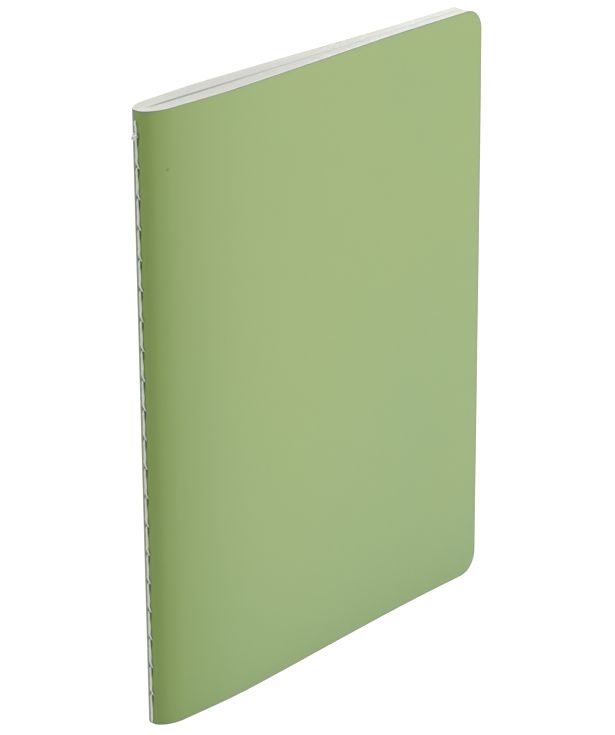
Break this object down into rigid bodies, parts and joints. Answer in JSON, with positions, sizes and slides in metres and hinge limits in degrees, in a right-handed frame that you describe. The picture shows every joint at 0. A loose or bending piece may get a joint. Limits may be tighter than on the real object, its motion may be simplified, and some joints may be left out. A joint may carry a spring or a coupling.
{
  "type": "sewn notebook",
  "caption": "Pocket notebook with a soft card cover, nested folded sheets sewn through the fold, and covers and leaves that turn open.",
  "frame": {"origin": "middle of the footprint, on the surface that the tail edge stands on", "axes": "+X from the spine to the fore-edge, +Y from the front cover to the back cover, +Z from the tail up to the head"},
  "size_m": [0.1092, 0.0092, 0.14],
  "materials": {
    "cover_card": "matt sage green coated card, pale at the cut edge",
    "paper": "matt off-white writing paper",
    "thread": "off-white twisted sewing thread"
  },
  "bodies": {
    "spine": {"cover_spine": "cover_card", "sheet_fold_01": "paper", "sheet_fold_02": "paper", "sheet_fold_03": "paper", "sheet_fold_04": "paper", "sheet_fold_05": "paper", "sheet_fold_06": "paper", "sheet_fold_07": "paper", "sheet_fold_08": "paper", "sheet_fold_09": "paper", "sheet_fold_10": "paper", "sheet_fold_11": "paper", "sheet_fold_12": "paper", "sheet_fold_13": "paper", "sheet_fold_14": "paper", "sheet_fold_15": "paper", "sheet_fold_16": "paper", "needle_thread": "thread", "bobbin_thread": "thread"},
    "front_cover": {"front_cover": "cover_card"},
    "back_cover": {"back_cover": "cover_card"},
    "front_leaf_01": {"front_leaf_01": "paper"},
    "front_leaf_02": {"front_leaf_02": "paper"},
    "front_leaf_03": {"front_leaf_03": "paper"},
    "front_leaf_04": {"front_leaf_04": "paper"},
    "front_leaf_05": {"front_leaf_05": "paper"},
    "front_leaf_06": {"front_leaf_06": "paper"},
    "front_leaf_07": {"front_leaf_07": "paper"},
    "front_leaf_08": {"front_leaf_08": "paper"},
    "front_leaf_09": {"front_leaf_09": "paper"},
    "front_leaf_10": {"front_leaf_10": "paper"},
    "front_leaf_11": {"front_leaf_11": "paper"},
    "front_leaf_12": {"front_leaf_12": "paper"},
    "front_leaf_13": {"front_leaf_13": "paper"},
    "front_leaf_14": {"front_leaf_14": "paper"},
    "front_leaf_15": {"front_leaf_15": "paper"},
    "front_leaf_16": {"front_leaf_16": "paper"},
    "back_leaf_01": {"back_leaf_01": "paper"},
    "back_leaf_02": {"back_leaf_02": "paper"},
    "back_leaf_03": {"back_leaf_03": "paper"},
    "back_leaf_04": {"back_leaf_04": "paper"},
    "back_leaf_05": {"back_leaf_05": "paper"},
    "back_leaf_06": {"back_leaf_06": "paper"},
    "back_leaf_07": {"back_leaf_07": "paper"},
    "back_leaf_08": {"back_leaf_08": "paper"},
    "back_leaf_09": {"back_leaf_09": "paper"},
    "back_leaf_10": {"back_leaf_10": "paper"},
    "back_leaf_11": {"back_leaf_11": "paper"},
    "back_leaf_12": {"back_leaf_12": "paper"},
    "back_leaf_13": {"back_leaf_13": "paper"},
    "back_leaf_14": {"back_leaf_14": "paper"},
    "back_leaf_15": {"back_leaf_15": "paper"},
    "back_leaf_16": {"back_leaf_16": "paper"}
  },
  "joints": [
    {"name": "front_cover_turn", "type": "hinge", "parent": "spine", "child": "front_cover", "pos_m": [-0.04643, -0.0041, 0], "axis": [0, 0, -1], "range_deg": [0, 178]},
    {"name": "back_cover_turn", "type": "hinge", "parent": "spine", "child": "back_cover", "pos_m": [-0.04643, 0.0041, 0], "axis": [0, 0, 1], "range_deg": [0, 178]},
    {"name": "front_leaf_01_turn", "type": "hinge", "parent": "spine", "child": "front_leaf_01", "pos_m": [-0.04643, -0.0041, 0], "axis": [0, 0, -1], "range_deg": [0, 167.54]},
    {"name": "front_leaf_02_turn", "type": "hinge", "parent": "spine", "child": "front_leaf_02", "pos_m": [-0.04643, -0.0041, 0], "axis": [0, 0, -1], "range_deg": [0, 157.07]},
    {"name": "front_leaf_03_turn", "type": "hinge", "parent": "spine", "child": "front_leaf_03", "pos_m": [-0.04643, -0.0041, 0], "axis": [0, 0, -1], "range_deg": [0, 146.6]},
    {"name": "front_leaf_04_turn", "type": "hinge", "parent": "spine", "child": "front_leaf_04", "pos_m": [-0.04643, -0.0041, 0], "axis": [0, 0, -1], "range_deg": [0, 136.13]},
    {"name": "front_leaf_05_turn", "type": "hinge", "parent": "spine", "child": "front_leaf_05", "pos_m": [-0.04643, -0.0041, 0], "axis": [0, 0, -1], "range_deg": [0, 125.66]},
    {"name": "front_leaf_06_turn", "type": "hinge", "parent": "spine", "child": "front_leaf_06", "pos_m": [-0.04643, -0.0041, 0], "axis": [0, 0, -1], "range_deg": [0, 115.19]},
    {"name": "front_leaf_07_turn", "type": "hinge", "parent": "spine", "child": "front_leaf_07", "pos_m": [-0.04643, -0.0041, 0], "axis": [0, 0, -1], "range_deg": [0, 104.72]},
    {"name": "front_leaf_08_turn", "type": "hinge", "parent": "spine", "child": "front_leaf_08", "pos_m": [-0.04643, -0.0041, 0], "axis": [0, 0, -1], "range_deg": [0, 94.25]},
    {"name": "front_leaf_09_turn", "type": "hinge", "parent": "spine", "child": "front_leaf_09", "pos_m": [-0.04643, -0.0041, 0], "axis": [0, 0, -1], "range_deg": [0, 83.78]},
    {"name": "front_leaf_10_turn", "type": "hinge", "parent": "spine", "child": "front_leaf_10", "pos_m": [-0.04643, -0.0041, 0], "axis": [0, 0, -1], "range_deg": [0, 73.3]},
    {"name": "front_leaf_11_turn", "type": "hinge", "parent": "spine", "child": "front_leaf_11", "pos_m": [-0.04643, -0.0041, 0], "axis": [0, 0, -1], "range_deg": [0, 62.83]},
    {"name": "front_leaf_12_turn", "type": "hinge", "parent": "spine", "child": "front_leaf_12", "pos_m": [-0.04643, -0.0041, 0], "axis": [0, 0, -1], "range_deg": [0, 52.36]},
    {"name": "front_leaf_13_turn", "type": "hinge", "parent": "spine", "child": "front_leaf_13", "pos_m": [-0.04643, -0.0041, 0], "axis": [0, 0, -1], "range_deg": [0, 41.89]},
    {"name": "front_leaf_14_turn", "type": "hinge", "parent": "spine", "child": "front_leaf_14", "pos_m": [-0.04643, -0.0041, 0], "axis": [0, 0, -1], "range_deg": [0, 31.42]},
    {"name": "front_leaf_15_turn", "type": "hinge", "parent": "spine", "child": "front_leaf_15", "pos_m": [-0.04643, -0.0041, 0], "axis": [0, 0, -1], "range_deg": [0, 20.95]},
    {"name": "front_leaf_16_turn", "type": "hinge", "parent": "spine", "child": "front_leaf_16", "pos_m": [-0.04643, -0.0041, 0], "axis": [0, 0, -1], "range_deg": [0, 10.48]},
    {"name": "back_leaf_01_turn", "type": "hinge", "parent": "spine", "child": "back_leaf_01", "pos_m": [-0.04643, 0.0041, 0], "axis": [0, 0, 1], "range_deg": [0, 167.54]},
    {"name": "back_leaf_02_turn", "type": "hinge", "parent": "spine", "child": "back_leaf_02", "pos_m": [-0.04643, 0.0041, 0], "axis": [0, 0, 1], "range_deg": [0, 157.07]},
    {"name": "back_leaf_03_turn", "type": "hinge", "parent": "spine", "child": "back_leaf_03", "pos_m": [-0.04643, 0.0041, 0], "axis": [0, 0, 1], "range_deg": [0, 146.6]},
    {"name": "back_leaf_04_turn", "type": "hinge", "parent": "spine", "child": "back_leaf_04", "pos_m": [-0.04643, 0.0041, 0], "axis": [0, 0, 1], "range_deg": [0, 136.13]},
    {"name": "back_leaf_05_turn", "type": "hinge", "parent": "spine", "child": "back_leaf_05", "pos_m": [-0.04643, 0.0041, 0], "axis": [0, 0, 1], "range_deg": [0, 125.66]},
    {"name": "back_leaf_06_turn", "type": "hinge", "parent": "spine", "child": "back_leaf_06", "pos_m": [-0.04643, 0.0041, 0], "axis": [0, 0, 1], "range_deg": [0, 115.19]},
    {"name": "back_leaf_07_turn", "type": "hinge", "parent": "spine", "child": "back_leaf_07", "pos_m": [-0.04643, 0.0041, 0], "axis": [0, 0, 1], "range_deg": [0, 104.72]},
    {"name": "back_leaf_08_turn", "type": "hinge", "parent": "spine", "child": "back_leaf_08", "pos_m": [-0.04643, 0.0041, 0], "axis": [0, 0, 1], "range_deg": [0, 94.25]},
    {"name": "back_leaf_09_turn", "type": "hinge", "parent": "spine", "child": "back_leaf_09", "pos_m": [-0.04643, 0.0041, 0], "axis": [0, 0, 1], "range_deg": [0, 83.78]},
    {"name": "back_leaf_10_turn", "type": "hinge", "parent": "spine", "child": "back_leaf_10", "pos_m": [-0.04643, 0.0041, 0], "axis": [0, 0, 1], "range_deg": [0, 73.3]},
    {"name": "back_leaf_11_turn", "type": "hinge", "parent": "spine", "child": "back_leaf_11", "pos_m": [-0.04643, 0.0041, 0], "axis": [0, 0, 1], "range_deg": [0, 62.83]},
    {"name": "back_leaf_12_turn", "type": "hinge", "parent": "spine", "child": "back_leaf_12", "pos_m": [-0.04643, 0.0041, 0], "axis": [0, 0, 1], "range_deg": [0, 52.36]},
    {"name": "back_leaf_13_turn", "type": "hinge", "parent": "spine", "child": "back_leaf_13", "pos_m": [-0.04643, 0.0041, 0], "axis": [0, 0, 1], "range_deg": [0, 41.89]},
    {"name": "back_leaf_14_turn", "type": "hinge", "parent": "spine", "child": "back_leaf_14", "pos_m": [-0.04643, 0.0041, 0], "axis": [0, 0, 1], "range_deg": [0, 31.42]},
    {"name": "back_leaf_15_turn", "type": "hinge", "parent": "spine", "child": "back_leaf_15", "pos_m": [-0.04643, 0.0041, 0], "axis": [0, 0, 1], "range_deg": [0, 20.95]},
    {"name": "back_leaf_16_turn", "type": "hinge", "parent": "spine", "child": "back_leaf_16", "pos_m": [-0.04643, 0.0041, 0], "axis": [0, 0, 1], "range_deg": [0, 10.48]}
  ],
  "couplings": [
    {"joint": "front_leaf_01_turn", "follows": "front_cover_turn", "ratio": 0.94118},
    {"joint": "front_leaf_02_turn", "follows": "front_cover_turn", "ratio": 0.88235},
    {"joint": "front_leaf_03_turn", "follows": "front_cover_turn", "ratio": 0.82353},
    {"joint": "front_leaf_04_turn", "follows": "front_cover_turn", "ratio": 0.76471},
    {"joint": "front_leaf_05_turn", "follows": "front_cover_turn", "ratio": 0.70588},
    {"joint": "front_leaf_06_turn", "follows": "front_cover_turn", "ratio": 0.64706},
    {"joint": "front_leaf_07_turn", "follows": "front_cover_turn", "ratio": 0.58823},
    {"joint": "front_leaf_08_turn", "follows": "front_cover_turn", "ratio": 0.52941},
    {"joint": "front_leaf_09_turn", "follows": "front_cover_turn", "ratio": 0.47059},
    {"joint": "front_leaf_10_turn", "follows": "front_cover_turn", "ratio": 0.41176},
    {"joint": "front_leaf_11_turn", "follows": "front_cover_turn", "ratio": 0.35294},
    {"joint": "front_leaf_12_turn", "follows": "front_cover_turn", "ratio": 0.29412},
    {"joint": "front_leaf_13_turn", "follows": "front_cover_turn", "ratio": 0.23529},
    {"joint": "front_leaf_14_turn", "follows": "front_cover_turn", "ratio": 0.17647},
    {"joint": "front_leaf_15_turn", "follows": "front_cover_turn", "ratio": 0.11765},
    {"joint": "front_leaf_16_turn", "follows": "front_cover_turn", "ratio": 0.058824},
    {"joint": "back_leaf_01_turn", "follows": "back_cover_turn", "ratio": 0.94118},
    {"joint": "back_leaf_02_turn", "follows": "back_cover_turn", "ratio": 0.88235},
    {"joint": "back_leaf_03_turn", "follows": "back_cover_turn", "ratio": 0.82353},
    {"joint": "back_leaf_04_turn", "follows": "back_cover_turn", "ratio": 0.76471},
    {"joint": "back_leaf_05_turn", "follows": "back_cover_turn", "ratio": 0.70588},
    {"joint": "back_leaf_06_turn", "follows": "back_cover_turn", "ratio": 0.64706},
    {"joint": "back_leaf_07_turn", "follows": "back_cover_turn", "ratio": 0.58823},
    {"joint": "back_leaf_08_turn", "follows": "back_cover_turn", "ratio": 0.52941},
    {"joint": "back_leaf_09_turn", "follows": "back_cover_turn", "ratio": 0.47059},
    {"joint": "back_leaf_10_turn", "follows": "back_cover_turn", "ratio": 0.41176},
    {"joint": "back_leaf_11_turn", "follows": "back_cover_turn", "ratio": 0.35294},
    {"joint": "back_leaf_12_turn", "follows": "back_cover_turn", "ratio": 0.29412},
    {"joint": "back_leaf_13_turn", "follows": "back_cover_turn", "ratio": 0.23529},
    {"joint": "back_leaf_14_turn", "follows": "back_cover_turn", "ratio": 0.17647},
    {"joint": "back_leaf_15_turn", "follows": "back_cover_turn", "ratio": 0.11765},
    {"joint": "back_leaf_16_turn", "follows": "back_cover_turn", "ratio": 0.058824}
  ]
}
